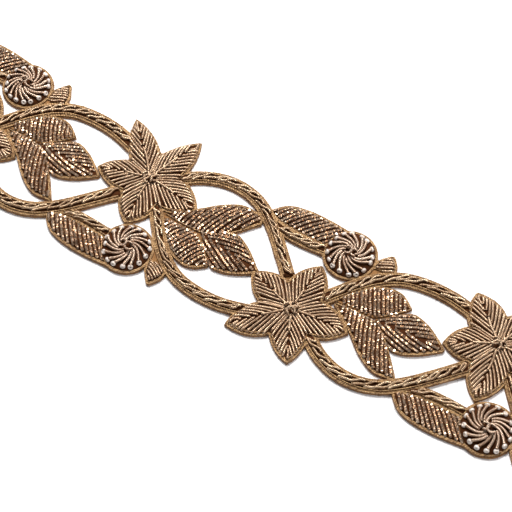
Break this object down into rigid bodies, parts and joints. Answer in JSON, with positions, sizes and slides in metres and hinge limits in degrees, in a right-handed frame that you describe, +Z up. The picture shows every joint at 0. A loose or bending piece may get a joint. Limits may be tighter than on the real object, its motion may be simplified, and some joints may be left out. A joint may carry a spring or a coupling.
{
  "type": "metallic embroidered lace trim",
  "caption": "Flat openwork border trim in antique-gold metal thread: padded flowers, leaves and beaded rosettes on a winding corded stem, cut out along its edges.",
  "frame": {"origin": "on the underside of the ground cloth, under the middle of the trim's box", "axes": "+X along the trim, the way its leaves point; +Z up out of the embroidered face; +Y across the trim"},
  "size_m": [0.2656, 0.0612, 0.0046],
  "materials": {
    "ground_cloth": "golden-brown metal-thread cloth with stitched edges",
    "bullion_purl": "close coils of antique rose-gold wire, laid side by side",
    "rosette_purl": "swirled wire coils with a pearl seed bead at the end of each",
    "couched_cord": "gold metal thread couched in rows, with a rope of short purls along the middle",
    "check_purl": "slanting rows of faceted, sparkling wire coils"
  },
  "bodies": {
    "root": {"ground": "ground_cloth", "flower_1": "bullion_purl", "flower_2": "bullion_purl", "flower_3": "bullion_purl", "flower_4": "bullion_purl", "bud_1": "bullion_purl", "bud_2": "bullion_purl", "bud_3": "bullion_purl", "bud_4": "bullion_purl", "rosette_1": "rosette_purl", "rosette_2": "rosette_purl", "rosette_3": "rosette_purl", "rosette_4": "rosette_purl", "arc_0": "couched_cord", "arc_1": "couched_cord", "arc_2": "couched_cord", "arc_3": "couched_cord", "arc_4": "couched_cord", "stem_0": "couched_cord", "stem_1": "couched_cord", "stem_2": "couched_cord", "stem_3": "couched_cord", "stem_4": "couched_cord", "twig_0": "couched_cord", "twig_1": "couched_cord", "twig_2": "couched_cord", "twig_3": "couched_cord", "outer_leaf_0": "check_purl", "outer_leaf_1": "check_purl", "outer_leaf_2": "check_purl", "outer_leaf_3": "check_purl", "single_leaf_1": "check_purl", "single_leaf_2": "check_purl", "single_leaf_3": "check_purl", "rear_leaf_1": "check_purl", "rear_leaf_2": "check_purl", "rear_leaf_3": "check_purl", "tip_leaf_1": "check_purl", "tip_leaf_2": "check_purl", "tip_leaf_3": "check_purl"}
  },
  "joints": []
}
